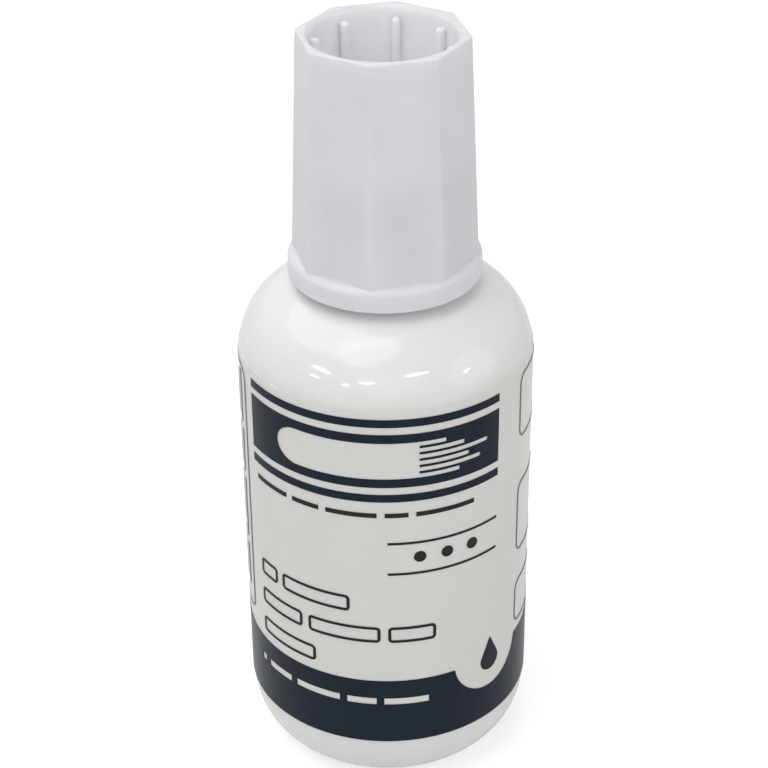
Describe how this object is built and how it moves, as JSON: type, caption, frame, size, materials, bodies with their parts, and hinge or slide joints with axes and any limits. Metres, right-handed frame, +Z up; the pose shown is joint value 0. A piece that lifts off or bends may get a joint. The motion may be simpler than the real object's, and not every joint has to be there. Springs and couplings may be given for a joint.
{
  "type": "correction fluid bottle",
  "caption": "Small white round bottle with a navy and white label and a tapered faceted screw cap, open on top, that carries a stem with a bristle brush into the bottle",
  "frame": {"origin": "centre of the foot, on the surface that the bottle stands on", "axes": "+Z up along the bottle's axis through neck and cap, -Y towards the front of the label, +X to the right of someone who reads it"},
  "size_m": [0.0292, 0.0292, 0.0785],
  "materials": {
    "bottle_plastic": "glossy blown polyethylene, warm white",
    "label_film": "glossy white film label",
    "navy_ink": "navy ink under a gloss coat",
    "grey_ink": "dark grey ink under a gloss coat",
    "wiper_plastic": "soft natural polyethylene",
    "ball_steel": "polished steel",
    "white_fluid": "opaque wet white fluid",
    "cap_plastic": "satin moulded polypropylene, cool white",
    "liner_foam": "closed foam washer",
    "stem_plastic": "natural moulded polypropylene",
    "bristle_nylon": "fine nylon filaments, wet with fluid",
    "anchor_brass": "drawn flat wire"
  },
  "bodies": {
    "bottle_body": {"bottle": "bottle_plastic", "label": "label_film", "label_print": "navy_ink", "label_marks": "grey_ink", "neck_wiper": "wiper_plastic", "mixing_ball": "ball_steel", "correction_fluid": "white_fluid"},
    "liner_body": {"cap_liner": "liner_foam"},
    "cap_body": {"cap": "cap_plastic", "brush_stem": "stem_plastic", "brush_bristles": "bristle_nylon", "brush_anchor": "anchor_brass"}
  },
  "joints": [
    {"name": "cap_lift", "type": "slide", "parent": "bottle_body", "child": "liner_body", "axis": [0, 0, 1], "range_m": [0, 0.062]},
    {"name": "cap_turn", "type": "hinge", "parent": "liner_body", "child": "cap_body", "pos_m": [0, 0, 0.0654], "axis": [0, 0, 1], "range_deg": [0, 540]}
  ]
}
